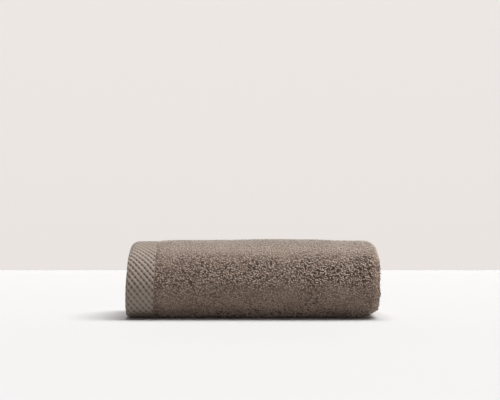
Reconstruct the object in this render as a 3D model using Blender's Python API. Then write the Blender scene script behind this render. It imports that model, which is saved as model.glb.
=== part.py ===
# A bath towel of terry cloth, folded in four along its length and rolled up across its width.
# It lies on its side, flattened by its own weight, with its loose edge tucked under at the back.
# Metres, +Z up, the roll along X, its front towards -Y, its woven border at the -X end.

import math
from collections import namedtuple

import bmesh
import bpy
from mathutils import Vector

# The cloth and the roll
TOWEL_LENGTH = 1.40
PLIES = 4
ROLL_LENGTH = TOWEL_LENGTH / PLIES
LOOSE_EDGE = 0.013  # the pressed edge of the four plies where the roll ends
CORE_HALF_WIDTH = 0.036  # the flat heart that the roll is wound on
CORE_HEIGHT = 0.048

# The outline of the roll across its length, in the order in which the cloth is wound
Place = namedtuple("Place", "where back up")
OUTLINE = (
    Place("over the loose edge", 0.044, 0.013),
    Place("low back", 0.068, 0.021),
    Place("back", 0.087, 0.045),
    Place("back shoulder", 0.077, 0.081),
    Place("crown, back", 0.040, 0.100),
    Place("crown", 0.000, 0.104),
    Place("crown, front", -0.033, 0.0972),
    Place("front shoulder", -0.066, 0.0795),
    Place("front", -0.085, 0.053),
    Place("belly", -0.0895, 0.031),
    Place("low front", -0.087, 0.011),
    Place("floor, front", -0.074, 0.000),
)
FLOOR_END = Place("floor, loose edge", 0.040, 0.000)

# Across the end of the roll: how far out from the heart each turn begins, as a share of the way
CORE_SHARE = 0.20
TURN_SHARE = 0.60
TURNS = 3
SLIP_START = 0.50  # the share of a turn after which the cloth slips outwards to its next turn

# Samples: two around the roll for each slanting cord of the border, three across a turn
CORDS = 48
AROUND = 2 * CORDS
ACROSS = 3
CORE_RINGS = 2
ROUND_STEPS = 3
CORD_STATIONS = 6
PILE_STATIONS = 8
FINE_STEPS = 600  # steps along the curved outline and along the floor, from which samples are read
FLOOR_STEPS = 100
WELD = 0.00005

# The woven border at the -X end
BORDER_WIDTH = 0.039
BORDER_SINK = 0.0014
HEM_RIM = 0.0012
CORD_RELIEF = 0.0011
CORD_LEAN = 8  # samples that a cord moves round the roll while it crosses the border
CORD_TAPER = 0.0025
GROOVE_WIDTH = 0.0022
GROOVE_SINK = 0.0032

# Soft swells in the pile: height, waves along the roll, waves around it, and start
Swell = namedtuple("Swell", "height along around start")
SWELLS = (
    Swell(0.0009, 1.5, 2, 0.4),
    Swell(0.0007, 3.2, 3, 2.1),
    Swell(0.0006, 4.6, 5, 4.0),
)

# How far the pile's crown stands above the outline, along the roll
Crest = namedtuple("Crest", "x rise")
CRESTS = (
    Crest(-0.136, 0.0),
    Crest(-0.118, 0.0018),
    Crest(-0.060, 0.0018),
    Crest(0.000, 0.0032),
    Crest(0.080, 0.0034),
    Crest(0.118, 0.0012),
    Crest(0.175, 0.0012),
)
CROWN_PLACE = 0.36  # shares of the way round the roll
CROWN_REACH = 0.12
CROWN_CALM = 0.6  # how much less the swells show at the crown

# The two ends: side, reach and depth of the rounded edge, and depth of the groove between turns
End = namedtuple("End", "side round_along round_in groove")
BORDER_END = End(-1, 0.008, 0.007, 0.0045)
FOLD_END = End(1, 0.016, 0.010, 0.0075)
SWELL_FADE = 0.035
SWELL_CLEARS_FLOOR = 0.020  # the height above the floor by which the swells have grown in
END_WAVE = 0.0012
END_WAVE_LENGTH = 0.085
END_WAVE_START = 0.7
TURN_ROUNDNESS = 0.6  # below 1 a turn's edge is blunter than half a sine wave
HEART_RISE = 0.8  # how far the groove round the heart fills where the heart runs on
FULL_TURN = 0.25  # a turn this wide, as a share, stands up to its whole roundness
RISE_SAMPLES = 4

PILE_COLOUR = (0.185, 0.143, 0.115, 1.0)
BORDER_COLOUR = (0.205, 0.160, 0.133, 1.0)


def smooth(value):
    value = max(0.0, min(1.0, value))
    return value * value * (3.0 - 2.0 * value)


def spline(points, share):
    # A smooth curve through the points, read at a share of its spans
    spans = len(points) - 1
    span = min(int(share * spans), spans - 1)
    t = share * spans - span
    before = points[span - 1] if span else 2 * points[0] - points[1]
    start, end = points[span], points[span + 1]
    after = points[span + 2] if span + 2 <= spans else 2 * end - start
    bend = 2 * before - 5 * start + 4 * end - after
    twist = 3 * start - before - 3 * end + after
    return start + 0.5 * t * ((end - before) + t * (bend + t * twist))


def wound_outline():
    # AROUND points, evenly apart, from above the loose edge round to the edge itself
    corners = [Vector((row.back, row.up)) for row in OUTLINE]
    fine = [spline(corners, n / FINE_STEPS) for n in range(FINE_STEPS + 1)]
    floor_end = Vector((FLOOR_END.back, FLOOR_END.up))
    fine += [corners[-1].lerp(floor_end, n / FLOOR_STEPS) for n in range(1, FLOOR_STEPS + 1)]
    for point in fine:
        point.y = max(point.y, 0.0)
    reach = [0.0]
    for start, end in zip(fine, fine[1:]):
        reach.append(reach[-1] + (end - start).length)
    outline = []
    n = 0
    for i in range(AROUND):
        wanted = reach[-1] * i / (AROUND - 1)
        while n < len(fine) - 2 and reach[n + 1] < wanted:
            n += 1
        gap = reach[n + 1] - reach[n]
        outline.append(fine[n].lerp(fine[n + 1], (wanted - reach[n]) / gap))
    return outline


def heart_line(outline):
    # A heart point for each outline point. Both faces of the heart share theirs, which shuts it.
    front = min(range(AROUND), key=lambda i: outline[i].x)
    turn = 2 * math.pi / AROUND
    return [Vector((-CORE_HALF_WIDTH * math.cos(turn * (i - front)), CORE_HEIGHT)) for i in range(AROUND)]


outline = wound_outline()
heart = heart_line(outline)


def ray(place):
    # Heart point and outline point at a place around the roll, which may lie between samples
    low = math.floor(place)
    part = place - low
    a, b = low % AROUND, (low + 1) % AROUND
    return heart[a].lerp(heart[b], part), outline[a].lerp(outline[b], part)


def skin_point(x, place, sink):
    # A point of the outside, sunk towards the heart
    inner, outer = ray(place)
    flat = outer + (inner - outer).normalized() * sink
    return Vector((x, flat.x, max(flat.y, 0.0)))


def rim_share(end, i):
    inner, outer = ray(i)
    return 1.0 - end.round_in / (outer - inner).length


def turn_edge(end, turn, i):
    # How far out the outer edge of a turn lies, as a share of the way from heart to outline
    levels = (CORE_SHARE, TURN_SHARE, rim_share(end, i))
    if turn == TURNS - 1:
        return levels[-1]
    if i == AROUND:
        return levels[turn + 1]
    slip = smooth((i / AROUND - SLIP_START) / (1.0 - SLIP_START))
    inner, outer = ray(i)
    under_edge = levels[turn + 1] * (1.0 - LOOSE_EDGE / (outer - inner).length)
    return levels[turn] + slip * (under_edge - levels[turn])


def end_point(end, i, share, stand):
    # A point of the end face: stand is 0 in a groove and 1 on the round of a turn
    inner, outer = ray(i)
    flat = inner.lerp(outer, share)
    turn = math.pi / END_WAVE_LENGTH
    wave = math.sin(turn * flat.x + END_WAVE_START) * math.cos(turn * flat.y)
    x = end.side * (ROLL_LENGTH / 2 - END_WAVE - end.groove * (1.0 - stand) + END_WAVE * wave)
    return Vector((x, flat.x, flat.y))


def turn_point(end, turn, i, across):
    # A point of one turn's edge, from its inner side at 0 to its outer side at 1
    if turn == TURNS - 1 and i == AROUND:
        return end_point(end, 0, rim_share(end, 0), 0.0)
    low = turn_edge(end, turn - 1, i) if turn else CORE_SHARE
    high = turn_edge(end, turn, i)
    full = smooth((high - low) / FULL_TURN)
    stand = full * math.sin(math.pi * across) ** TURN_ROUNDNESS if 0.0 < across < 1.0 else 0.0
    if turn == 0:
        stand = max(stand, heart_stand(end, i) * (1.0 - across))
    if turn == TURNS - 1:
        open_side = math.sin(math.pi / 2 * min(1.0, 2.0 * across))
        stand += (open_side - stand) * smooth(i / RISE_SAMPLES)
    return end_point(end, i, low + (high - low) * across, stand)


def heart_stand(end, i):
    # The heart runs on into the first turn, so the groove between them fades there
    opened = (turn_edge(end, 0, i) - CORE_SHARE) / (TURN_SHARE - CORE_SHARE)
    return HEART_RISE * math.sin(math.pi * max(0.0, min(1.0, opened)))


def add_grid(body, columns, rows, place_of):
    # A grid whose point in each column and row goes where place_of says
    made = bmesh.ops.create_grid(body, x_segments=columns, y_segments=rows, size=1.0)["verts"]
    for vertex in made:
        column = round((vertex.co.x + 1.0) / 2.0 * columns)
        row = round((vertex.co.y + 1.0) / 2.0 * rows)
        vertex.co = place_of(column, row)


def crest_rise(x):
    x = max(CRESTS[0].x, min(CRESTS[-1].x, x))
    for low, high in zip(CRESTS, CRESTS[1:]):
        if x <= high.x:
            return low.rise + (high.rise - low.rise) * (x - low.x) / (high.x - low.x)


def swell(x, place):
    # The pile's rise along the crown and its soft unevenness, none of it at the two ends, along the
    # border and on the floor
    along = (x + ROLL_LENGTH / 2) / ROLL_LENGTH
    angle = 2 * math.pi * place / AROUND
    height = sum(
        s.height * math.sin(2 * math.pi * s.along * along + s.around * angle + s.start) for s in SWELLS
    )
    start = BORDER_WIDTH + GROOVE_WIDTH
    fade = smooth((x + ROLL_LENGTH / 2 - start) / SWELL_FADE) * smooth((ROLL_LENGTH / 2 - x) / SWELL_FADE)
    crown = math.exp(-(((place / AROUND - CROWN_PLACE) / CROWN_REACH) ** 2))
    height *= (1.0 - CROWN_CALM * crown) * smooth(ray(place)[1].y / SWELL_CLEARS_FLOOR)
    return height * fade + crest_rise(x) * crown


def skin_stations():
    # From end to end: place along the roll, sink below the pile, share of the cords' relief,
    # and how far the border's lean has carried the samples round
    Station = namedtuple("Station", "x sink cords lean")
    left = -ROLL_LENGTH / 2
    start = left + BORDER_END.round_along
    stop = left + BORDER_WIDTH
    inner = (stop - start - 2 * CORD_TAPER) / CORD_STATIONS
    border = [(start + CORD_TAPER + inner * n, 1.0) for n in range(CORD_STATIONS + 1)]
    stations = [
        Station(x, BORDER_SINK, cords, CORD_LEAN * (x - start) / (stop - start))
        for x, cords in [(start, 0.0), *border, (stop, 0.0)]
    ]
    stations.append(Station(stop + GROOVE_WIDTH / 2, GROOVE_SINK, 0.0, CORD_LEAN))
    first = stop + GROOVE_WIDTH
    last = ROLL_LENGTH / 2 - FOLD_END.round_along
    for n in range(PILE_STATIONS + 1):
        x = first + (last - first) * n / PILE_STATIONS
        stations.append(Station(x, 0.0, 0.0, CORD_LEAN))
    return stations


def round_edge(end, place, step, sink):
    # The rounded edge between the outside and the end, step 0 on the outside
    rim = turn_point(end, TURNS - 1, place % AROUND, 1.0)
    if step == ROUND_STEPS:
        return rim
    angle = math.pi / 2 * step / ROUND_STEPS
    x = rim.x - end.side * end.round_along * (1.0 - math.sin(angle))
    inset = end.round_in * (1.0 - math.cos(angle)) + sink * math.cos(angle)
    return skin_point(x, place, inset)


def add_skin(body):
    # The outside of the roll with its border, groove and rounded edges, as one grid
    stations = skin_stations()
    columns = len(stations) - 1 + 2 * ROUND_STEPS

    def place_of(column, row):
        at = column - ROUND_STEPS
        if at < 0:
            return round_edge(BORDER_END, row, -at, BORDER_SINK - HEM_RIM * (at == -1))
        if at >= len(stations):
            return round_edge(FOLD_END, row + CORD_LEAN, at - len(stations) + 1, 0.0)
        station = stations[at]
        place = row + station.lean
        relief = CORD_RELIEF * station.cords * (row % 2)
        return skin_point(station.x, place, station.sink - relief - swell(station.x, place))

    add_grid(body, columns, AROUND, place_of)


def add_end(body, end):
    # The wound edges of the cloth: the heart, then the turns one after another
    def heart_place(column, row):
        share = CORE_SHARE * row / CORE_RINGS
        stand = math.cos(math.pi / 2 * row / CORE_RINGS)
        if row == CORE_RINGS:
            stand = heart_stand(end, column) if column < AROUND else 0.0
        return end_point(end, column % AROUND, share, stand)

    add_grid(body, AROUND, CORE_RINGS, heart_place)
    for turn in range(TURNS):
        add_grid(body, AROUND, ACROSS, lambda i, row, turn=turn: turn_point(end, turn, i, row / ACROSS))


def centre_on_origin(body):
    # The roll stands over the origin by the middle of its box, its flat spot on the floor
    for axis in (0, 1):
        places = [vertex.co[axis] for vertex in body.verts]
        middle = (min(places) + max(places)) / 2
        for vertex in body.verts:
            vertex.co[axis] -= middle


def principled(name, colour):
    material = bpy.data.materials.new(name)
    material.use_nodes = True
    shader = material.node_tree.nodes["Principled BSDF"]
    shader.inputs["Base Color"].default_value = colour
    shader.inputs["Roughness"].default_value = 0.95
    shader.inputs["Metallic"].default_value = 0.0
    material.diffuse_color = colour
    return material


def towel_roll():
    body = bmesh.new()
    add_skin(body)
    for end in (BORDER_END, FOLD_END):
        add_end(body, end)
    bmesh.ops.remove_doubles(body, verts=body.verts, dist=WELD)
    bmesh.ops.recalc_face_normals(body, faces=body.faces)
    centre_on_origin(body)
    border_stop = -ROLL_LENGTH / 2 + BORDER_WIDTH
    for face in body.faces:
        face.material_index = int(face.calc_center_median().x < border_stop)
    mesh = bpy.data.meshes.new("towel_roll")
    body.to_mesh(mesh)
    body.free()
    mesh.materials.append(principled("terry_pile", PILE_COLOUR))
    mesh.materials.append(principled("woven_border", BORDER_COLOUR))
    mesh.shade_smooth()
    return bpy.data.objects.new("towel_roll", mesh)


def main():
    for thing in list(bpy.data.objects):
        bpy.data.objects.remove(thing, do_unlink=True)
    collection = bpy.data.collections.new("rolled_bath_towel")
    bpy.context.scene.collection.children.link(collection)
    collection.objects.link(towel_roll())


main()
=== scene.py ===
import math

import bpy
import numpy as np
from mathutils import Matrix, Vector


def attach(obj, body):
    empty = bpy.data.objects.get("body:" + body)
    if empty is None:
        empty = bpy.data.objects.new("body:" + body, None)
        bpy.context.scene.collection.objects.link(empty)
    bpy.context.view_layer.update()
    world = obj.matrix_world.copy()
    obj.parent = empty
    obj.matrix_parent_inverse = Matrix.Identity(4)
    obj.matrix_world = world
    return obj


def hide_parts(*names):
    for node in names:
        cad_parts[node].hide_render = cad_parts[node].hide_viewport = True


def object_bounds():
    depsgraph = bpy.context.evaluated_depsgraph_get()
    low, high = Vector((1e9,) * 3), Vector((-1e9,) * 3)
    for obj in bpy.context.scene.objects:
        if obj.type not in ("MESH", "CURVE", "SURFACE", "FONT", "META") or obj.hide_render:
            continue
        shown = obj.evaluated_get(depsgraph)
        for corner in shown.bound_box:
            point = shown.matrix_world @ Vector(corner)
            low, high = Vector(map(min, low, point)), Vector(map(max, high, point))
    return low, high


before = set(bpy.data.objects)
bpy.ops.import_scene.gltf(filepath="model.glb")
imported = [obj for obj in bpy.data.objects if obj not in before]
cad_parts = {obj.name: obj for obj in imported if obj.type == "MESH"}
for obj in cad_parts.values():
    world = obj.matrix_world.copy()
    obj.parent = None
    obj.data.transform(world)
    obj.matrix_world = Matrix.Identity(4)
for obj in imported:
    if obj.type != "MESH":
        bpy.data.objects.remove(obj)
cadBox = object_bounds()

# The looks of the rolled bath towel: the folded and wound cloth, its looped pile and its woven border.
# Metres, +Z up, the roll along X, the border at the -X end, the camera in front at -Y.
# wind counts turns from the heart outwards, ply goes from 0 on the strip's outer side to 4 on its inner
# side, x and along are places along the roll, and high is the height of the outline.

# The roll, as in the solid it replaces, with its outline in the order in which the cloth is wound.
# A pair such as leanTop is the place where a change starts, and its reach.
roll = {
    "length": 0.350,
    "looseEdge": 0.013,  # the height of the four plies at the loose edge
    "heartHalf": 0.036,  # the flat heart, round which the cloth is wound: half its length, and its height
    "heartUp": 0.048,
    "heartUnder": -0.13,  # where the first turn starts, as a share of the way from heart to outline
    "heartFill": (0.46, 0.08, 0.76, 0.10, 0.13),  # a stretch of it fills the heart's bend by this much
    "outline": (
        ("over the loose edge", 0.044, 0.013),
        ("low back", 0.068, 0.021),
        ("back", 0.087, 0.045),
        ("back shoulder", 0.077, 0.081),
        ("crown, back", 0.040, 0.100),
        ("crown", 0.000, 0.104),
        ("crown, front", -0.033, 0.0972),
        ("front shoulder", -0.066, 0.0795),
        ("front", -0.085, 0.053),
        ("belly", -0.0895, 0.031),
        ("low front", -0.087, 0.011),
        ("floor, front", -0.074, 0.000),
    ),
    "floorEnd": (0.040, 0.000),
    "outlineSteps": (1201, 101),
    "levels": (0.20, 0.60, 1.00),  # where each turn ends, as a share of the way from heart to outline
    "slip": (0.45, 0.65),  # between these shares of a turn the cloth slips outwards to its next level
    "press": (0.50, 0.65),  # and between these the last turn makes room for the loose edge under it
    "outermost": (1.94, 0.06),  # where the last turn comes to be the outside
    "cords": 48,
    "samples": 384,
    "latticeSize": 64,
    "plies": 4,
    # slow unevenness of the pile: height, waves along the roll, waves round it, and start
    "swells": ((0.0009, 1.5, 2, 0.4), (0.0007, 3.2, 3, 2.1), (0.0006, 4.6, 5, 4.0)),
    "swellShare": 0.45,
    "swellFade": 0.035,
    "crownPlace": (0.36, 0.12),  # where in a turn the crown lies, and its reach
    "crownCalm": 0.6,
    "crownStart": (-0.136, 0.008),
    # how far the pile's crown stands above the outline, along the roll
    "crownLine": (
        (-0.136, 0.0010),
        (-0.118, 0.0018),
        (-0.060, 0.0018),
        (-0.030, 0.0022),
        (0.000, 0.0032),
        (0.055, 0.0033),
        (0.080, 0.0034),
        (0.100, 0.0025),
        (0.118, 0.0012),
        (0.135, 0.0008),
        (0.150, 0.0010),
        (0.170, 0.0016),
    ),
    # how far the ends lean in: the left one at the top, the right one lower down and at its foot
    "lean": (0.0014, 0.0013, 0.0030),
    "leanAlong": (0.105, 0.070),
    "leanTop": (0.030, 0.050),
    "leanLow": (0.090, 0.030),
    "leanFoot": (0.036, 0.036),
    # how far each end is drawn in towards the heart: at the crown, at the floor and between, with its reach
    "drawnRight": (0.055, 0.150, 0.010, 0.026),
    "drawnLeft": (0.075, 0.020, 0.000, 0.014),
    "drawnCrown": (0.080, 0.022),
    "drawnFloor": (0.030, 0.030),
}
halfLength = roll["length"] / 2
lastPlace = 1.0 - 1.0 / (2 * roll["cords"])  # the share of a turn at which the loose edge lies
looseEnd = 2.0 + lastPlace


def smooth(value):
    value = np.clip(value, 0.0, 1.0)
    return value * value * (3.0 - 2.0 * value)


def rise(value, start, reach):
    # from 0 at the start to 1 at the end of the reach
    return smooth((value - start) / reach)


def fall(value, start, reach):
    # from 0 at the start to 1 at the end of the reach below it
    return smooth((start - value) / reach)


def hump(value, middle, reach):
    return np.exp(-(((value - middle) / reach) ** 2))


def unit(vectors):
    return vectors / np.maximum(np.linalg.norm(vectors, axis=-1), 1e-12)[..., None]


def throughPoints(points, share):
    # a smooth curve through the points, read at shares of its spans
    spans = len(points) - 1
    padded = np.vstack([2 * points[0] - points[1], points, 2 * points[-1] - points[-2]])
    span = np.minimum((share * spans).astype(int), spans - 1)
    t = (share * spans - span)[:, None]
    a, b, c, d = (padded[span + n] for n in range(4))
    return b + 0.5 * t * ((c - a) + t * ((2 * a - 5 * b + 4 * c - d) + t * (3 * b - a - 3 * c + d)))


def windOutline():
    # outline, inner outline and heart line of the roll's section, a row for each sample of one turn
    corners = np.array([row[1:] for row in roll["outline"]])
    curveSteps, floorSteps = roll["outlineSteps"]
    fine = throughPoints(corners, np.linspace(0, 1, curveSteps))
    floor = np.linspace(corners[-1], roll["floorEnd"], floorSteps)[1:]
    fine = np.vstack([fine, floor])
    fine[:, 1] = np.maximum(fine[:, 1], 0.0)
    reach = np.concatenate([[0.0], np.cumsum(np.linalg.norm(np.diff(fine, axis=0), axis=1))])
    place = np.arange(roll["samples"]) / roll["samples"]
    share = np.minimum(place / lastPlace, 1.0)
    outer = np.column_stack([np.interp(share * reach[-1], reach, fine[:, n]) for n in (0, 1)])
    coarse = outer[:: roll["samples"] // (2 * roll["cords"])]
    front = np.argmin(coarse[:, 0]) / len(coarse)
    angle = 2 * math.pi * (place - front)
    heart = np.column_stack([-roll["heartHalf"] * np.cos(angle), np.full(len(angle), roll["heartUp"])])
    away = outer - heart
    far = np.linalg.norm(away, axis=1)[:, None]
    start, stop = roll["press"]
    pressed = smooth((place - start) / (stop - start))[:, None] * roll["looseEdge"]
    inner = heart + away * (1.0 - pressed / far)
    late = place > lastPlace
    edge = inner[np.flatnonzero(~late)[-1]]
    part = ((place[late] - lastPlace) / (1.0 - lastPlace))[:, None]
    inner[late] = edge + (outer[0] - edge) * part
    return outer, inner, heart, reach[-1]


outline, innerOutline, heartLine, girth = windOutline()
shiftBack = (outline[:, 0].min() + outline[:, 0].max()) / 2


def around(rows, turn):
    # rows read at a place in the turn, between samples too
    place = (turn % 1.0) * len(rows)
    low = np.floor(place).astype(int)
    part = (place - low)[..., None]
    return rows[low % len(rows)] * (1.0 - part) + rows[(low + 1) % len(rows)] * part


def turnEdges(wind):
    # inner and outer edge of the folded strip in the section, the heart, and the outline's height
    turn = np.clip(np.floor(wind), 0, 2).astype(int)
    t = wind - turn
    last = turn == 2
    placed = np.where(last, np.minimum(t, lastPlace), t)
    heart, inner, outer = (around(rows, placed) for rows in (heartLine, innerOutline, outline))
    start, stop = roll["slip"]
    slip = smooth((t - start) / (stop - start))
    levels = np.array([roll["heartUnder"], *roll["levels"]])
    low = levels[turn] + (levels[turn + 1] - levels[turn]) * slip
    start, startReach, stop, stopReach, much = roll["heartFill"]
    low = low - (turn == 0) * much * rise(t, start, startReach) * fall(t, stop, stopReach)
    levels = np.array([*roll["levels"], 1.0])
    high = levels[turn] + (levels[turn + 1] - levels[turn]) * slip
    lowEdge = heart + (inner - heart) * low[..., None]
    highEdge = np.where(last[..., None], outer, heart + (inner - heart) * high[..., None])
    return lowEdge, highEdge, heart, outer[..., 1]


def swellAt(x, wind):
    # the slow unevenness of the pile that the solid has too, and the crown's own line
    along = (x + halfLength) / roll["length"]
    angle = 2 * math.pi * wind
    height = sum(
        tall * np.sin(2 * math.pi * waves * along + turns * angle + start)
        for tall, waves, turns, start in roll["swells"]
    )
    fade = rise(x + halfLength, border["width"], roll["swellFade"]) * fall(x, halfLength, roll["swellFade"])
    crown = hump(wind - np.floor(wind), *roll["crownPlace"])
    above = np.interp(x, *np.transpose(roll["crownLine"]))
    swell = height * roll["swellShare"] * (1.0 - roll["crownCalm"] * crown) * fade
    return swell + above * crown * rise(x, *roll["crownStart"])


def drawnIn(x, high):
    # the share by which a point of the ends is drawn in towards the heart
    crown, floor = rise(high, *roll["drawnCrown"]), fall(high, *roll["drawnFloor"])
    share = 0.0
    for side, key in ((1, "drawnRight"), (-1, "drawnLeft")):
        top, low, between, reach = roll[key]
        near = np.clip((side * x - (halfLength - reach)) / reach, 0.0, 1.0) ** 2
        share = share + near * (top * crown + low * floor + between * (1.0 - crown - floor))
    return share


def leanAt(x, up):
    # how far the ends lean in along the roll
    left, right, foot = roll["lean"]
    low = right * fall(up, *roll["leanLow"]) + foot * fall(up, *roll["leanFoot"])
    leftLean = rise(-x, *roll["leanAlong"]) * left * rise(up, *roll["leanTop"])
    return leftLean - rise(x, *roll["leanAlong"]) * low


def rollPoint(wind, x, ply, out):
    # a point of the wound strip, out being added to the outside in metres
    lowEdge, highEdge, heart, high = turnEdges(wind)
    across = highEdge - lowEdge
    thick = np.maximum(np.linalg.norm(across, axis=-1), 1e-5)[..., None]
    flat = lowEdge + across * (1.0 - ply / roll["plies"])[..., None] + across / thick * out[..., None]
    flat = heart + (flat - heart) * (1.0 - drawnIn(x, high))[..., None]
    up = np.maximum(flat[..., 1], 0.0)
    return np.stack([x + leanAt(x, up), flat[..., 0] - shiftBack, up], axis=-1)


def softNoise(seed, points):
    # smooth noise from -1 to 1 on a lattice, points being pairs in lattice steps
    size = roll["latticeSize"]
    lattice = np.random.default_rng(seed).uniform(-1, 1, (size, size))
    low = np.floor(points).astype(int)
    part = smooth(points - low)
    a = lattice[low[..., 0] % size, low[..., 1] % size]
    b = lattice[(low[..., 0] + 1) % size, low[..., 1] % size]
    c = lattice[low[..., 0] % size, (low[..., 1] + 1) % size]
    d = lattice[(low[..., 0] + 1) % size, (low[..., 1] + 1) % size]
    top = a + (b - a) * part[..., 0]
    bottom = c + (d - c) * part[..., 0]
    return top + (bottom - top) * part[..., 1]


# Shader building
class Value:
    # a shader socket that takes part in Python sums
    def __init__(self, paint, socket):
        self.paint = paint
        self.socket = socket

    def mathNode(self, operation, first, second):
        return self.paint.node("ShaderNodeMath", {"operation": operation}, {0: first, 1: second})

    def __add__(self, other):
        return self.mathNode("ADD", self, other)

    def __sub__(self, other):
        return self.mathNode("SUBTRACT", self, other)

    def __rsub__(self, other):
        return self.mathNode("SUBTRACT", other, self)

    def __mul__(self, other):
        return self.mathNode("MULTIPLY", self, other)

    __radd__, __rmul__ = __add__, __mul__


class Paint:
    # a material and the making of its nodes
    def __init__(self, name, roughness, sheen):
        self.material = bpy.data.materials.new(name)
        self.material.use_nodes = True
        self.tree = self.material.node_tree
        self.shader = self.tree.nodes["Principled BSDF"]
        self.shader.inputs["Roughness"].default_value = roughness
        self.shader.inputs["Specular IOR Level"].default_value = yarn["specular"]
        self.shader.inputs["Sheen Weight"].default_value = sheen
        self.shader.inputs["Sheen Roughness"].default_value = yarn["sheenRough"]

    def node(self, kind, settings=None, inputs=None, output=0):
        made = self.tree.nodes.new(kind)
        for name, value in (settings or {}).items():
            setattr(made, name, value)
        for name, value in (inputs or {}).items():
            self.feed(made.inputs[name], value)
        return Value(self, made.outputs[output])

    def feed(self, socket, value):
        if isinstance(value, Value):
            self.tree.links.new(value.socket, socket)
        else:
            socket.default_value = value

    def mix(self, factor, first, second):
        inputs = {"Factor": factor, 6: first, 7: second}
        return self.node("ShaderNodeMix", {"data_type": "RGBA"}, inputs, output=2)

    def noise(self, place, scale, detail):
        inputs = {"Vector": place, "Scale": scale, "Detail": detail}
        return self.node("ShaderNodeTexNoise", {}, inputs)

    def bump(self, height, strength, distance):
        inputs = {"Strength": strength, "Distance": distance, "Height": height}
        self.feed(self.shader.inputs["Normal"], self.node("ShaderNodeBump", {}, inputs))

    def colour(self, value):
        self.feed(self.shader.inputs["Base Color"], value)

    def objectPlace(self):
        return self.node("ShaderNodeTexCoord", output="Object")

    def uvPlace(self, name):
        return self.node("ShaderNodeUVMap", {"uv_map": name})

    def part(self, vector, axis):
        return self.node("ShaderNodeSeparateXYZ", {}, {0: vector}, output=axis)


# The yarn's colours and finishes. A finish is roughness and sheen, a grain or a drift is a noise's scale
# and detail, and a bump is strength and distance.
yarn = {
    # deep is painted shade: the loops' roots and the ground between them are darkened towards it
    "deep": (0.042, 0.024, 0.018, 1.0),
    "middle": (0.500, 0.368, 0.292, 1.0),
    "light": (0.980, 0.805, 0.690, 1.0),
    # crest is painted sheen: the greyer colour given to the loops at the crown for the light on top
    "crestSheen": (0.436, 0.382, 0.341, 1.0),
    "weave": (0.490, 0.405, 0.345, 1.0),
    # weaveDeep is painted shade: the border darkens towards it in grooves and pits, at the crown, middle
    # and foot
    "weaveDeep": (0.070, 0.050, 0.040, 1.0),
    "specular": 0.15,
    "sheenRough": 0.6,
    "loopFinish": (0.95, 0.0),
    "loopTone": (0.7, 0.5, 0.1),  # shares of the single loop and of the slow drift, and what comes off
    "loopDrift": (38.0, 3.0),
    "loopGrain": (2600.0, 1.0),
    "loopBump": (0.35, 0.0004),
    "crestSheenUp": (0.076, 34.0),  # the height at which the crown's painted sheen colour sets in, and its rate
    "groundFinish": (0.95, 0.15),
    "groundGrain": (900.0, 2.0),
    "groundBump": (0.6, 0.0008),
    "groundTone": (0.85, 0.20),  # shares of the grain, and of the painted shade lifted low down
    "groundLow": (0.060, 50.0),
    "weaveFinish": (0.9, 0.05),
    # shares of the painted shade in grooves and pits, at the crown, middle and foot, of the drift and the
    # threads, and what comes off
    "weaveTone": (0.85, 0.25, 0.05, 0.05),
    "weaveDrift": (60.0, 2.0),
    "weaveGrain": (1500.0, 2.0),
    "weaveBump": (0.5, 0.0003),
    "threadBump": 0.5,
}


def pilePaint():
    # loops: painted shade darkens them towards the root, a little different from loop to loop, with slow
    # drifts of tone, and painted sheen at the crown
    paint = Paint("terryPile", *yarn["loopFinish"])
    place = paint.objectPlace()
    loopPlace = paint.uvPlace("loop")
    tone, height = paint.part(loopPlace, "X"), paint.part(loopPlace, "Y")
    drift = paint.noise(place, *yarn["loopDrift"])
    loopShare, driftShare, off = yarn["loopTone"]
    tint = paint.mix(tone * loopShare + drift * driftShare - off, yarn["middle"], yarn["light"])
    # painted sheen: from this height up the loops turn towards the crown's greyer colour
    start, rate = yarn["crestSheenUp"]
    crestSheen = (paint.part(place, "Z") - start) * rate
    # painted shade: the loop map's height mixes each loop towards deep at its roots
    paint.colour(paint.mix(height, yarn["deep"], paint.mix(crestSheen, tint, yarn["crestSheen"])))
    paint.bump(paint.noise(place, *yarn["loopGrain"]), *yarn["loopBump"])
    return paint.material


def groundPaint():
    # the woven ground under the loops, darkened as painted shade between them, the painted shade lighter
    # low down, where little of it shows
    paint = Paint("terryGround", *yarn["groundFinish"])
    place = paint.objectPlace()
    grain = paint.noise(place, *yarn["groundGrain"])
    start, rate = yarn["groundLow"]
    settings = {"operation": "MULTIPLY", "use_clamp": True}
    low = paint.node("ShaderNodeMath", settings, {0: start - paint.part(place, "Z"), 1: rate})
    grainShare, lowShare = yarn["groundTone"]
    paint.colour(paint.mix(grain * grainShare + low * lowShare, yarn["deep"], yarn["middle"]))
    paint.bump(grain, *yarn["groundBump"])
    return paint.material


def borderPaint():
    # the flat weave: fine yarns along the cords, with painted shade in the grooves and pits, at the crown,
    # round the middle and at the foot
    paint = Paint("borderWeave", *yarn["weaveFinish"])
    place = paint.objectPlace()
    weave = paint.uvPlace("weave")
    # depth carries the painted shade that the border's mesh works out
    slant, depth = paint.part(weave, "X"), paint.part(weave, "Y")
    threads = paint.node("ShaderNodeMath", {"operation": "SINE"}, {0: slant * (2 * math.pi)})
    fuzz = paint.noise(place, *yarn["weaveGrain"])
    drift = paint.noise(place, *yarn["weaveDrift"])
    shadeShare, driftShare, threadShare, off = yarn["weaveTone"]
    tone = depth * shadeShare + drift * driftShare + threads * threadShare - off
    paint.colour(paint.mix(tone, yarn["weaveDeep"], yarn["weave"]))
    paint.bump(threads * yarn["threadBump"] + fuzz, *yarn["weaveBump"])
    return paint.material


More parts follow.
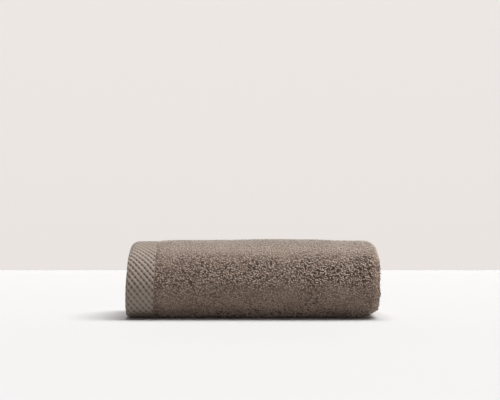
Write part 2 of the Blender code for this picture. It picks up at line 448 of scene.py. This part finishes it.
# Making meshes
def newPiece(name, points, faces, material, uv=None, uvName=None):
    mesh = bpy.data.meshes.new(name)
    points = np.ascontiguousarray(points.reshape(-1, 3), dtype=np.float32)
    faces = np.ascontiguousarray(faces, dtype=np.int32)
    corners = faces.shape[1]
    mesh.vertices.add(len(points))
    mesh.vertices.foreach_set("co", points.ravel())
    mesh.loops.add(faces.size)
    mesh.loops.foreach_set("vertex_index", faces.ravel())
    mesh.polygons.add(len(faces))
    mesh.polygons.foreach_set("loop_start", np.arange(0, faces.size, corners, dtype=np.int32))
    mesh.update(calc_edges=True)
    mesh.validate()
    mesh.polygons.foreach_set("use_smooth", np.ones(len(faces), dtype=bool))
    if uv is not None:
        layer = mesh.uv_layers.new(name=uvName)
        layer.data.foreach_set("uv", uv.reshape(-1, 2)[faces.ravel()].astype(np.float32).ravel())
    mesh.materials.append(material)
    piece = bpy.data.objects.new(name, mesh)
    bpy.context.scene.collection.objects.link(piece)
    return piece


def gridFaces(rows, columns, start=0, flip=False):
    # quads of a grid whose points run row by row
    index = start + np.arange(rows * columns).reshape(rows, columns)
    quads = np.stack([index[:-1, :-1], index[1:, :-1], index[1:, 1:], index[:-1, 1:]], axis=-1)
    quads = quads.reshape(-1, 4)
    return quads[:, ::-1] if flip else quads


def shellFaces(rows, columns):
    # two such grids, one behind the other, closed along their rims
    count = rows * columns
    index = np.arange(count).reshape(rows, columns)
    rims = []
    for line, flip in ((index[:, 0], False), (index[:, -1], True), (index[0], True), (index[-1], False)):
        quads = np.column_stack([line[:-1], line[:-1] + count, line[1:] + count, line[1:]])
        rims.append(quads[:, ::-1] if flip else quads)
    return np.vstack([gridFaces(rows, columns), gridFaces(rows, columns, count, flip=True), *rims])


cloth = {
    "flat": (0.70, 1.40),
    "spacing": 0.0053,  # the usual distance from ply to ply
    "share": 0.44,  # half a ply's thickness, in plies
    "start": 0.13,  # where the cloth begins, in turns from the heart
    "steps": ((1.0, 37), (2.0, 58), (looseEnd, 92)),
    # plies on which the folded towel's runs and folds lie, outermost first
    "runPlies": (0.5, 3.5, 2.5, 1.5),
    "foldStart": 0.015,  # from the right end back to where the outer fold starts to turn
    "foldReach": 0.0125,
    "foldMiddle": (2.0, 1.5),  # the ply in the middle of the fold, and its radius in plies
    "innerFoldStart": 0.0110,
    "innerFoldReach": 0.0035,
    "innerFoldMiddle": (2.0, 0.5),
    "borderFold": 0.0095,
    "borderFoldReach": 0.0030,
    "borderFoldMiddle": (3.0, 0.5),
    "hems": (0.0012, 0.0028),
    "runCell": 0.0115,
    "foldCells": 9,
    "smallFoldCells": 5,
    "pileSink": 0.0018,  # how far the ground lies below the outline under the pile, and under the border
    "borderSink": 0.0042,
    "borderStep": 0.003,
    "borderRound": (0.008, 0.007),  # the rounding of the border's edge, along the roll and inwards
    "roundMost": 0.98,
    "roundFade": (1.2, 3.0),  # the rounding fades out from ply to ply
    "roundInside": 0.3,  # and has this share inside the roll
}


def plyPath():
    # the folded towel across its length, hem to hem: place along the roll, ply, and outward direction
    right, left = halfLength - cloth["foldStart"], -halfLength
    innerRight = halfLength - cloth["innerFoldStart"] - cloth["innerFoldReach"]
    foldLeft = left + cloth["borderFold"]
    first, second, third, fourth = cloth["runPlies"]

    def run(start, stop, ply, outward):
        cells = round(abs(stop - start) / cloth["runCell"])
        x = np.linspace(start, stop, cells + 1)
        return np.column_stack([x, np.full(len(x), ply), np.zeros(len(x)), np.full(len(x), outward)])

    def fold(x, place, reach, side, outward, cells):
        middle, radius = place
        angle = np.linspace(0, math.pi, cells + 1)[1:-1]
        return np.column_stack([
            x + side * reach * np.sin(angle),
            middle - outward * radius * np.cos(angle),
            side * np.sin(angle),
            outward * np.cos(angle),
        ])

    few = cloth["smallFoldCells"]
    parts = (
        run(left + cloth["hems"][0], right, first, 1.0),
        fold(right, cloth["foldMiddle"], cloth["foldReach"], 1, 1.0, cloth["foldCells"]),
        run(right, foldLeft, second, -1.0),
        fold(foldLeft, cloth["borderFoldMiddle"], cloth["borderFoldReach"], -1, -1.0, few),
        run(foldLeft, innerRight, third, 1.0),
        fold(innerRight, cloth["innerFoldMiddle"], cloth["innerFoldReach"], 1, -1.0, few),
        run(innerRight, left + cloth["hems"][1], fourth, -1.0),
    )
    return np.vstack(parts)


def makeCloth():
    print("cloth: folding the towel in four and winding it")
    path = plyPath()
    winds = []
    start = cloth["start"]
    for stop, steps in cloth["steps"]:
        winds.append(np.linspace(start, stop, steps, endpoint=False))
        start = stop
    wind = np.concatenate([*winds, [start]])
    rows, columns = len(wind), len(path)
    x, ply, outX, outPly = (np.broadcast_to(path[:, n], (rows, columns)) for n in range(4))
    turn = np.broadcast_to(wind[:, None], (rows, columns))
    outermost = rise(turn, *roll["outermost"])
    flatZone = 1.0 - rise(x + halfLength, border["width"], cloth["borderStep"])
    roundAlong, roundIn = cloth["borderRound"]
    fadeFrom, fadePlies = cloth["roundFade"]
    inside = cloth["roundInside"]
    sheets = []
    for side in (1, -1):
        faceX = x + side * outX * cloth["share"] * cloth["spacing"]
        facePly = ply - side * outPly * cloth["share"]
        onTop = outermost * (facePly < 0.5)
        sink = cloth["pileSink"] + (cloth["borderSink"] - cloth["pileSink"]) * flatZone
        edge = np.clip((roundAlong - (faceX + halfLength)) / roundAlong, 0, 1)
        bend = roundIn * (1.0 - np.sqrt(1.0 - np.minimum(edge, cloth["roundMost"]) ** 2))
        bend = bend * np.clip(fadeFrom - facePly / fadePlies, 0.0, 1.0)
        bend = bend * (outermost * (1.0 - inside) + inside)
        out = -onTop * sink - bend + onTop * swellAt(faceX, turn)
        sheets.append(rollPoint(turn, faceX, facePly, out))
    return newPiece("towelCloth", np.stack(sheets), shellFaces(rows, columns), materials["ground"])


# Widths of grooves and pits are in repeats. A pair is a place and its reach: a height, or along the roll.
border = {
    "width": 0.039,
    "sink": 0.0012,
    "repeat": 0.00816,
    "cell": 0.0009,
    "relief": 0.0014,
    "groove": 0.0011,  # depths of the grooves along the cords, of those across them, and of the pits
    "cross": 0.0003,
    "pit": 0.0008,
    "grooveWide": 0.16,
    "crossWide": 0.15,
    "pitWide": (0.20, 0.07),  # the usual width, and how much is added round the belly
    "belly": (0.046, 0.013),
    "wander": (0.05, 0.9),
    "seed": 11,
    "crown": (0.088, 0.014),
    "crownDrop": 0.0013,
    "crownEase": 0.55,  # how much the relief is eased at the crown, and low down
    "low": (0.050, 0.025),
    "lowEase": 0.12,
    "rim": (0.0022, 0.0015),
    "rimRaise": 0.0004,
    "rimDeep": 0.008,
    "pileGap": (0.0004, 0.0012),
    # how dark the painted shade is in the grooves, across them, in the pits, at the crown, round the middle
    # and at the foot
    "grooveShade": 0.42,
    "crossShade": 0.12,
    "pitShade": 0.55,
    "crownShade": 0.25,
    "middleShade": (0.10, 0.050, 0.018),
    "footShade": (0.34, 0.012, 0.010),
    "threads": 8.0,  # fine yarns in a repeat
    "hemThick": 0.0034,
    "hemUnder": (0.006, 0.0022, 4),  # the hem's underside: from, to, and its steps
    "hemNose": 0.0014,
    "noseSteps": 6,
    "roundGap": 0.0002,
    "roundLength": 0.0118,
    "dive": ((0.0006, 0.0026), (0.0016, 0.0042)),  # where the border goes down under the pile
    "thick": 0.0024,
    "edgeThick": 0.0010,
}


def borderPath():
    # across the border, from under the hem's edge round it and along to the pile: place along the
    # roll, and depth below the outline
    cell = border["cell"]
    roundAlong, roundIn = cloth["borderRound"]
    lip = np.linspace(math.pi, 0, border["noseSteps"])
    back, front, steps = border["hemUnder"]
    thick = border["hemThick"]
    under = np.column_stack([np.linspace(back, front, steps)[:-1], np.full(steps - 1, roundIn + thick)])
    nose = np.column_stack([
        border["hemNose"] - border["hemNose"] * np.sin(lip),
        roundIn + thick / 2 - thick / 2 * np.cos(lip),
    ])
    angle = np.linspace(math.pi / 2, 0, round(border["roundLength"] / cell) + 1)[1:]
    curve = np.column_stack([
        roundAlong - (roundAlong - border["roundGap"]) * np.sin(angle),
        border["sink"] + (roundIn - border["sink"]) * (1.0 - np.cos(angle)),
    ])
    flat = np.arange(roundAlong + cell, border["width"], cell)
    flat = np.column_stack([flat, np.full(len(flat), border["sink"])])
    dive = np.array([[border["width"] + ahead, deep] for ahead, deep in border["dive"]])
    path = np.vstack([under, nose, curve, flat, dive])
    path[:, 0] += -halfLength
    steps = np.linalg.norm(np.diff(path, axis=0), axis=1)
    along = np.concatenate([[0.0], np.cumsum(steps)])
    return path, along - along[len(under) + len(nose) - 1]


def makeBorder():
    print("border: weaving the cords")
    path, along = borderPath()
    rows = round(girth / border["cell"])
    turn = np.linspace(0, lastPlace, rows)
    wind = np.broadcast_to(2.0 + turn[:, None], (rows, len(path)))
    x = np.broadcast_to(path[:, 0], wind.shape)
    depth = np.broadcast_to(path[:, 1], wind.shape)
    across = np.broadcast_to(along, wind.shape) / border["repeat"]
    cordTurn = (wind - 2.0) * roll["cords"]
    much, often = border["wander"]
    places = np.stack([across * often, cordTurn * often], axis=-1)
    wander = much * softNoise(border["seed"], places)
    down = across - cordTurn + wander  # whole in a groove between two cords
    upward = across + cordTurn - wander
    offDown = np.abs(down - np.round(down))
    offUp = np.abs(upward - np.round(upward))
    groove = hump(offDown, 0.0, border["grooveWide"])
    cross = hump(offUp, 0.0, border["crossWide"])
    _, _, _, high = turnEdges(wind)
    usual, more = border["pitWide"]
    wide = usual + more * hump(high, *border["belly"])
    pit = np.exp(-((offDown**2 + offUp**2) / wide**2))
    crown = rise(high, *border["crown"])
    strength = 1.0 - border["crownEase"] * crown - border["lowEase"] * fall(high, *border["low"])
    inside = rise(np.broadcast_to(along, wind.shape), *border["rim"])
    gap, reach = border["pileGap"]
    inside = inside * (1.0 - smooth((x + halfLength - border["width"] + gap) / reach))
    relief = border["relief"] - strength * (
        border["groove"] * groove + border["cross"] * cross + border["pit"] * pit
    )
    rim = border["rimRaise"] * (1.0 - inside) * (depth < border["rimDeep"])
    base = rim - depth - border["crownDrop"] * crown
    skin = rollPoint(wind, x, np.zeros_like(x), base + relief * inside)
    plain = rollPoint(wind, x, np.zeros_like(x), base)
    normal = unit(np.cross(np.gradient(plain, axis=0), np.gradient(plain, axis=1)))
    thick = border["edgeThick"] + (border["thick"] - border["edgeThick"]) * inside
    lining = plain - normal * thick[..., None]
    # painted shade: darker in the grooves, across them and in the pits, darker at the crown, round the
    # middle band and at the foot by the floor
    dark = border["grooveShade"] * groove + border["crossShade"] * cross + border["pitShade"] * pit
    shade = np.clip(1.0 - strength * dark, 0.0, 1.0)
    shade = (1.0 + (shade - 1.0) * inside) * (1.0 - border["crownShade"] * crown)
    muchMiddle, middle, middleReach = border["middleShade"]
    muchFoot, foot, footReach = border["footShade"]
    shade = shade * (
        1.0 - muchMiddle * hump(high, middle, middleReach) - muchFoot * fall(high, foot, footReach)
    )
    uv = np.stack([down * border["threads"], shade], axis=-1)
    points, uvs = np.stack([skin, lining]), np.stack([uv, uv])
    return newPiece("wovenBorder", points, shellFaces(rows, len(path)), materials["border"], uvs, "weave")


# Pairs of sizes are drawn between their ends. A zone is where it starts, and its reach.
pile = {
    "seed": 3,
    "pitchRound": 0.0021,
    "pitchAlong": 0.0026,
    "jitter": 0.42,
    "stagger": 0.25,
    "sides": 3,
    "rings": 5,
    "radius": (0.00060, 0.00088),
    "height": (0.0012, 0.0030),
    "span": (0.0018, 0.0034),
    "reach": (0.0002, 0.0010),
    "arch": 0.7,  # the power that makes the loop's top round
    "belly": 0.35,  # how much wider the loop is at its top
    "rootThick": 0.75,
    "rootDeep": 0.0004,
    "offFloor": 0.0002,
    # the direction in which the loops run, how far it is brushed, and how far single ones stray
    "lie": -0.40,
    "brushed": 0.6,
    "brushWide": 0.011,
    "brushSeed": 5,
    "stray": 0.45,
    "toOneSide": 0.7,
    "lumps": ((0.0011, 0.0038, 6), (0.0006, 0.0200, 7)),  # unevenness of the feet: height, width and seed
    "lumpCrown": 0.8,
    "specks": 0.25,  # the share of loops that lie low, their colour darkened as painted shade
    "speckLow": 0.6,
    "speckThin": 0.2,
    "speckShade": 0.85,
    # where the pile lies smoother: place along the roll, height, reach of both, and how much
    "calm": (
        (-0.120, 0.085, 0.035, 0.022, 0.7),
        (-0.105, 0.018, 0.035, 0.016, 0.7),
        (0.140, 0.018, 0.030, 0.018, 0.7),
        (0.045, 0.036, 0.034, 0.012, 0.5),
        (-0.075, 0.022, 0.022, 0.012, 0.6),
        (-0.010, 0.036, 0.028, 0.010, 0.5),
    ),
    "lowCalm": 0.52,  # the same for the front's whole lower half
    "lowZone": (0.052, 0.024),
    "backCalm": 0.38,
    "backZone": (-0.010, 0.050),
    "crownZone": (0.070, 0.025),
    "sinkEase": (2.0, 1.2),  # past the outer fold's middle the feet no longer lie deep, in plies
    "calmLow": 0.55,  # what calm takes off height, thickness and difference of tone
    "calmThin": 0.12,
    "calmEven": 0.6,
    "crownLow": 1.3,  # how much more the crown counts for height and for tone
    "crownEven": 1.4,
    "rootShade": 1.4,  # the power by which a loop's painted shade deepens towards its roots
    # how far the painted root shade is lifted at the crown, where it stands for light reaching down, and
    # where the pile is calm
    "calmLight": (0.95, 0.9),
    "foldStep": 0.0125,
    "foldLoops": (0.25, 2.6),  # where the fold's loops start and stop, in such steps
    "pieces": 4,
    "start": 0.14,
    "foldLength": 0.43,  # how long the strip is round the roll, at the outer fold and at the inner one
    "innerLength": 0.81,
    "innerWide": 0.0085,
    "innerAngle": (0.3, 2.8),
    "sparse": 1.15,
    "besideBorder": 0.0004,
    "probe": (0.0006, 0.0004, 0.05),  # small steps to a foot's neighbours: in turns, in metres, in radians
}


def skinPath(along):
    # the outer side of the folded strip: place along the roll and ply, past the right end round the fold
    right = halfLength - cloth["foldStart"]
    angle = np.clip((along - right) / pile["foldStep"], 0.0, math.pi)
    middle, radius = cloth["foldMiddle"]
    thick = cloth["share"]
    reach = cloth["foldReach"] + thick * cloth["spacing"]
    x = np.where(along < right, along, right + reach * np.sin(angle))
    ply = middle - (radius + thick) * np.cos(angle)
    return x, ply


def borderFoldPath(along):
    # the small fold of the inner plies at the border's end, along being the angle round it in radians
    middle, radius = cloth["borderFoldMiddle"]
    reach = cloth["borderFoldReach"] + cloth["share"] * cloth["spacing"]
    x = -halfLength + cloth["borderFold"] - reach * np.sin(along)
    ply = middle - (radius + cloth["share"]) * np.cos(along)
    return x, ply


def skinPoint(wind, along, path):
    x, ply = path(along)
    outermost = rise(wind, *roll["outermost"]) * (ply < 2.0)
    sink = cloth["pileSink"] * fall(ply, *pile["sinkEase"])
    out = outermost * (swellAt(x, wind) - sink)
    return rollPoint(wind, x, ply, out)


def calmAt(foot, outward):
    # at each foot: the crown, the calm patches, and how calm the pile is in all
    x, y, z = foot.T
    patches = np.zeros(len(foot))
    for middleX, middleZ, reachX, reachZ, much in pile["calm"]:
        near = ((x - middleX) / reachX) ** 2 + ((z - middleZ) / reachZ) ** 2
        patches = np.maximum(patches, much * np.exp(-near))
    if outward < 0:
        return np.zeros(len(foot)), patches, patches
    back = rise(y, *pile["backZone"])
    low = fall(z, *pile["lowZone"])
    zones = pile["lowCalm"] * low * (1.0 - back) + pile["backCalm"] * back
    return rise(z, *pile["crownZone"]), patches, np.maximum(patches, zones)


def loopFaces(count):
    # triangles of loops that are closed tubes
    rings, sides = pile["rings"], pile["sides"]
    index = np.arange(rings * sides).reshape(rings, sides)
    beyond = np.roll(index, -1, axis=1)
    quads = np.stack([index[:-1], beyond[:-1], beyond[1:], index[1:]], axis=-1).reshape(-1, 4)
    cap = np.column_stack([np.zeros(sides - 2, dtype=int), np.arange(1, sides - 1), np.arange(2, sides)])
    loop = np.vstack([quads[:, :3], quads[:, [0, 2, 3]], cap[:, ::-1], cap + (rings - 1) * sides])
    return (loop[None] + (np.arange(count) * rings * sides)[:, None, None]).reshape(-1, 3)


def layLoops(name, wind, along, rng, path, spread, outward=1.0):
    # one joined mesh of loops whose feet stand at the given places
    foot = skinPoint(wind, along, path)
    downRoll = skinPoint(wind + pile["probe"][0], along, path) - foot
    sideways = skinPoint(wind, along + spread, path) - foot
    normal = unit(outward * np.cross(downRoll, sideways))
    first = unit(sideways)
    second = np.cross(normal, first)
    count = len(foot)
    flatPlace = np.stack([along, wind * girth], axis=1)
    brush = softNoise(pile["brushSeed"], flatPlace / pile["brushWide"])
    crown, patches, calm = calmAt(foot, outward)
    # specks: loops that lie low, their colour darkened as painted shade
    speck = (rng.random(count) < pile["specks"]) * (1.0 - np.maximum(crown, patches))
    for tall, wide, seed in pile["lumps"]:
        lift = tall * softNoise(seed, flatPlace / wide)
        foot = foot + normal * (lift * (1.0 - pile["lumpCrown"] * crown))[:, None]
    angle = pile["lie"] + pile["brushed"] * brush + rng.normal(0, pile["stray"], count)
    ahead = first * np.cos(angle)[:, None] + second * np.sin(angle)[:, None]
    beside = np.cross(normal, ahead)

    def draw(key):
        low, high = pile[key]
        return rng.uniform(low, high, count)

    span, height, reach, radius = draw("span"), draw("height"), draw("reach"), draw("radius")
    height *= (1.0 - pile["calmLow"] * np.maximum(pile["crownLow"] * crown, calm)) * (
        1.0 - pile["speckLow"] * speck * (1.0 - calm)
    )
    radius *= (1.0 - pile["calmThin"] * calm) * (1.0 - pile["speckThin"] * speck)
    side = np.where(rng.random(count) < pile["toOneSide"], 1.0, -1.0)
    rings, sides = pile["rings"], pile["sides"]
    share = np.linspace(0, 1, rings)
    arch = np.sin(math.pi * share)
    lift = height[:, None] * arch ** pile["arch"] - pile["rootDeep"]
    run = span[:, None] * (share - 0.5) * (1.0 + pile["belly"] * arch)
    lean = (side * reach)[:, None] * arch
    centre = (
        foot[:, None]
        + normal[:, None] * lift[..., None]
        + ahead[:, None] * run[..., None]
        + beside[:, None] * lean[..., None]
    )
    tangent = unit(np.gradient(centre, axis=1))
    across = unit(np.cross(tangent, beside[:, None]))
    other = np.cross(tangent, across)
    thick = radius[:, None] * (pile["rootThick"] + (1.0 - pile["rootThick"]) * arch)
    turns = 2 * math.pi * np.arange(sides) / sides + math.pi / 2
    ring = (
        centre[:, :, None]
        + across[:, :, None] * (np.cos(turns)[:, None] * thick[:, :, None, None])
        + other[:, :, None] * (np.sin(turns)[:, None] * thick[:, :, None, None])
    )
    ring[..., 2] = np.maximum(ring[..., 2], pile["offFloor"])
    even = 1.0 - pile["calmEven"] * np.maximum(pile["crownEven"] * crown, calm)
    tone = 0.5 + (rng.random(count) - 0.5) * even
    # painted shade: each loop darker towards its roots, the shade lifted at the crown and where the pile is
    # calm, and darker still on the sunk specks
    crownLight, calmLight = pile["calmLight"]
    light = crownLight * np.maximum(crown, calmLight * calm)
    tall = np.maximum(arch[None, :, None] ** pile["rootShade"], light[:, None, None])
    tall = tall * (1.0 - pile["speckShade"] * speck)[:, None, None]
    shape = (count, rings, sides)
    uv = np.stack([np.broadcast_to(tone[:, None, None], shape), np.broadcast_to(tall, shape)], axis=-1)
    print(f"pile: {count} loops in {name}")
    return newPiece(name, ring, loopFaces(count), materials["pile"], uv, "loop")


def scatter(rng, windStart, windStop, length, alongStart, alongStop, sparse=1.0):
    # feet on a jittered lattice over a stretch of the cloth, length being its size round the roll
    rows = max(2, round(length / (pile["pitchRound"] * sparse)))
    columns = max(2, round((alongStop - alongStart) / (pile["pitchAlong"] * sparse)))
    jitter, stagger = pile["jitter"], pile["stagger"]
    r, c = np.meshgrid(np.arange(rows), np.arange(columns), indexing="ij")
    r = r + 0.5 + rng.uniform(-jitter, jitter, r.shape)
    c = c + 0.5 + 2 * stagger * (np.floor(r) % 2) - stagger + rng.uniform(-jitter, jitter, c.shape)
    wind = windStart + (windStop - windStart) * r / rows
    along = alongStart + (alongStop - alongStart) * c / columns
    return wind.ravel(), along.ravel()


def makePile():
    pieces = []
    rng = np.random.default_rng(pile["seed"])
    _, stepAlong, stepAngle = pile["probe"]
    left = -halfLength + border["width"] + pile["besideBorder"]
    right = halfLength - cloth["foldStart"]
    foldFrom, foldTo = pile["foldLoops"]
    foldEnd = right + foldTo * pile["foldStep"]
    for n in range(pile["pieces"]):
        start, stop = (2.0 + lastPlace * m / pile["pieces"] for m in (n, n + 1))
        wind, along = scatter(rng, start, stop, girth / pile["pieces"], left, foldEnd)
        pieces.append(layLoops(f"terryPile{n + 1}", wind, along, rng, skinPath, stepAlong))
    start, sparse = pile["start"], pile["sparse"]
    foldStart = right + foldFrom * pile["foldStep"]
    wind, along = scatter(rng, start, 2.0, pile["foldLength"], foldStart, foldEnd, sparse)
    pieces.append(layLoops("terryFold", wind, along, rng, skinPath, stepAlong))
    wide = pile["innerWide"]
    wind, along = scatter(rng, start, looseEnd, pile["innerLength"], 0.0, wide, sparse)
    angleStart, angleStop = pile["innerAngle"]
    along = angleStart + (angleStop - angleStart) * along / wide
    inner = layLoops("terryInnerFold", wind, along, rng, borderFoldPath, stepAngle, outward=-1.0)
    pieces.append(inner)
    return pieces


# The stage. A sun is its name, its place, its strength, and the angle that makes its shadows soft.
studio = {
    "cameraAway": 2.0,
    "cameraUp": 0.162,
    "lens": 105.5,
    "sensor": 36.0,
    "imageWidth": 500.0,
    "rollMiddle": 252.8,  # where the middle of the roll stands in an image of that width
    "floorSize": (12.0, 6.0),
    "floorEdge": 1.30,
    "floorDrop": -0.0004,
    "wallSize": (14.0, 3.0),
    "wallAway": 3.0,
    "wallTop": 1.0,
    "wingSize": (3.0, 8.0),
    "wingAway": 5.0,
    "wingMiddle": -0.8,
    "floorColour": (0.80, 0.80, 0.81, 1.0),
    "wallColour": (0.200, 0.190, 0.183, 1.0),
    "stageRough": 0.9,
    "wallGlow": 4.0,
    "stageDrift": (6.0, 3.0),
    "driftShare": 0.3,
    "driftDark": 0.985,
    "world": 0.09,
    "worldColour": (1.0, 0.985, 0.97, 1.0),
    "sunColour": (1.0, 0.99, 0.975),
    "sunAim": (0.0, 0.0, 0.05),
    "clothSuns": (
        ("clothKey", (0.22, 0.17, 1.05), 3.82, 0.45),
        ("clothFill", (0.10, -1.00, 0.36), 0.25, 0.60),
    ),
    "floorSuns": (
        ("floorKeyRight", (0.56, 0.56, 1.05), 1.88, 0.50),
        ("floorKeyBack", (0.05, 0.70, 1.05), 2.13, 0.50),
    ),
}


def stagePaint(name, colour, glow):
    paint = Paint(name, studio["stageRough"], 0.0)
    paint.shader.inputs["Emission Color"].default_value = colour
    paint.shader.inputs["Emission Strength"].default_value = glow
    drift = paint.noise(paint.objectPlace(), *studio["stageDrift"])
    darker = tuple(studio["driftDark"] * c for c in colour[:3]) + (1.0,)
    paint.colour(paint.mix(drift * studio["driftShare"], colour, darker))
    return paint.material


def addPlane(name, size, place, turn, material):
    # a plain plane of the stage, with its place in its mesh
    bpy.ops.object.select_all(action="DESELECT")
    bpy.ops.mesh.primitive_grid_add(x_subdivisions=8, y_subdivisions=8, size=1.0, rotation=turn)
    plane = bpy.context.object
    plane.name = name
    plane.scale = (*size, 1.0)
    plane.location = place
    bpy.ops.object.transform_apply(location=True, rotation=True, scale=True)
    plane.data.materials.append(material)
    return plane


def makeStage():
    wallPaint = stagePaint("wallPaint", studio["wallColour"], studio["wallGlow"])
    floorPaint = stagePaint("floorPaint", studio["floorColour"], 0.0)
    wide, deep = studio["floorSize"]
    place = (0.0, studio["floorEdge"] - deep / 2, studio["floorDrop"])
    floor = addPlane("floor", (wide, deep), place, (0, 0, 0), floorPaint)
    middle = studio["wallTop"] - studio["wallSize"][1] / 2
    place = (0.0, studio["wallAway"], middle)
    wall = addPlane("backdrop", studio["wallSize"], place, (math.pi / 2, 0, 0), wallPaint)
    for number, side in ((2, -1), (1, 1)):
        # plain walls at both sides, for the views along the roll; they light nothing
        place = (side * studio["wingAway"], studio["wingMiddle"], middle)
        wing = addPlane(f"wing{number}", studio["wingSize"], place, (0, math.pi / 2, 0), wallPaint)
        wing.visible_diffuse = False
    world = bpy.data.worlds.new("studio")
    bpy.context.scene.world = world
    world.use_nodes = True
    background = world.node_tree.nodes["Background"]
    background.inputs["Color"].default_value = studio["worldColour"]
    background.inputs["Strength"].default_value = studio["world"]
    return floor, wall


def addLight(name, place, energy, angle, lit):
    # a soft sun that shines from its place to the roll's middle, on the given pieces only
    data = bpy.data.lights.new(name, "SUN")
    data.color = studio["sunColour"]
    data.energy = energy
    data.angle = angle
    light = bpy.data.objects.new(name, data)
    group = bpy.data.collections.new(f"{name}Lights")
    for piece in lit:
        group.objects.link(piece)
    light.light_linking.receiver_collection = group
    light.location = place
    light.rotation_mode = "QUATERNION"
    light.rotation_quaternion = (Vector(studio["sunAim"]) - Vector(place)).to_track_quat("-Z", "Y")
    bpy.context.scene.collection.objects.link(light)


def makeLights(cloths, stage):
    for sun in studio["clothSuns"]:
        addLight(*sun, cloths)
    for sun in studio["floorSuns"]:
        addLight(*sun, stage)


def makeCamera():
    data = bpy.data.cameras.new("camera")
    data.lens = studio["lens"]
    data.sensor_width = studio["sensor"]
    camera = bpy.data.objects.new("camera", data)
    camera.location = (0.0, cadBox[0][1] - studio["cameraAway"], studio["cameraUp"])
    camera.rotation_euler = (math.pi / 2, 0.0, 0.0)
    data.shift_x = -(studio["rollMiddle"] - studio["imageWidth"] / 2) / studio["imageWidth"]
    bpy.context.scene.collection.objects.link(camera)
    bpy.context.scene.camera = camera


bpy.context.scene.view_settings.view_transform = "Standard"
materials = {"pile": pilePaint(), "ground": groundPaint(), "border": borderPaint()}
makeCamera()
towelCloth = makeCloth()
wovenBorder = makeBorder()
pilePieces = makePile()
stagePieces = makeStage()
makeLights([towelCloth, wovenBorder, *pilePieces], stagePieces)

for piece in (towelCloth, wovenBorder, *pilePieces):
    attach(piece, "root")
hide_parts("towel_roll")
